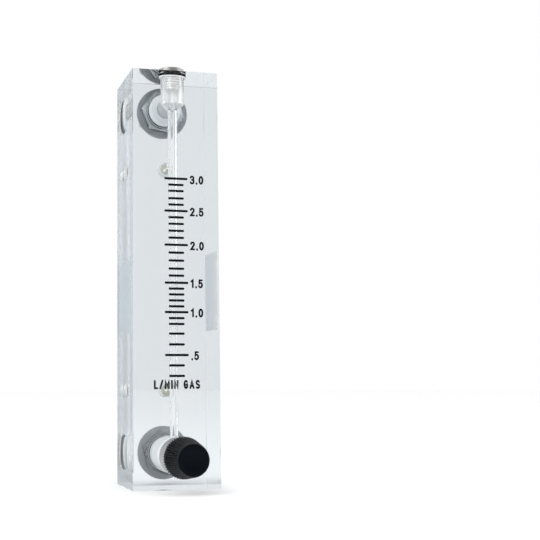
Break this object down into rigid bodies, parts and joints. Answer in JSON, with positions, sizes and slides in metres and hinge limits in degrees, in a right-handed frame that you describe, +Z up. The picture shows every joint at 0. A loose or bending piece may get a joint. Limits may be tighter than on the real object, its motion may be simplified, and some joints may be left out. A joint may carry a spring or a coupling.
{
  "type": "rotameter",
  "caption": "Small variable-area flow meter in a clear acrylic block, with a ball float in a tapered bore, a needle valve with a ribbed knob, and rear pipe fittings.",
  "frame": {"origin": "centre of the block's bottom face", "axes": "+Z up along the float bore, -Y out of the scale face and along the knob, +Y out of the two pipe fittings"},
  "size_m": [0.035, 0.0687, 0.1675],
  "materials": {
    "acrylic": "clear cast acrylic, polished outside, drilled bores left slightly frosted",
    "fitting_metal": "turned stainless steel",
    "washer_metal": "stamped stainless steel",
    "valve_metal": "turned stainless steel",
    "plug_metal": "turned stainless steel",
    "ball_steel": "polished steel ball",
    "insert_brass": "knurled brass",
    "knob_plastic": "moulded black plastic",
    "stop_plastic": "white turned plastic rod",
    "seal_rubber": "moulded black rubber"
  },
  "bodies": {
    "meter_body": {"body_block": "acrylic", "valve_body": "valve_metal", "valve_seal_front": "seal_rubber", "valve_seal_rear": "seal_rubber", "upper_float_stop": "stop_plastic", "top_plug": "plug_metal", "top_plug_seal": "seal_rubber", "inlet_fitting": "fitting_metal", "inlet_fitting_seal": "seal_rubber", "inlet_washer": "washer_metal", "inlet_nut": "fitting_metal", "outlet_fitting": "fitting_metal", "outlet_fitting_seal": "seal_rubber", "outlet_washer": "washer_metal", "outlet_nut": "fitting_metal", "mounting_insert_lower": "insert_brass", "mounting_insert_upper": "insert_brass"},
    "float": {"float_ball": "ball_steel"},
    "stem_carrier": {"valve_stem_seal": "seal_rubber"},
    "valve": {"valve_stem": "valve_metal", "control_knob": "knob_plastic"}
  },
  "joints": [
    {"name": "float_rise", "type": "slide", "parent": "meter_body", "child": "float", "axis": [0, 0, 1], "range_m": [0, 0.1312]},
    {"name": "stem_travel", "type": "slide", "parent": "meter_body", "child": "stem_carrier", "axis": [0, -1, 0], "range_m": [0, 0.004]},
    {"name": "knob_turn", "type": "hinge", "parent": "stem_carrier", "child": "valve", "pos_m": [0, -0.01588, 0.0128], "axis": [0, -1, 0], "range_deg": [0, 1800]}
  ],
  "couplings": [
    {"joint": "knob_turn", "follows": "stem_travel", "rad_per_m": 7853.9}
  ]
}
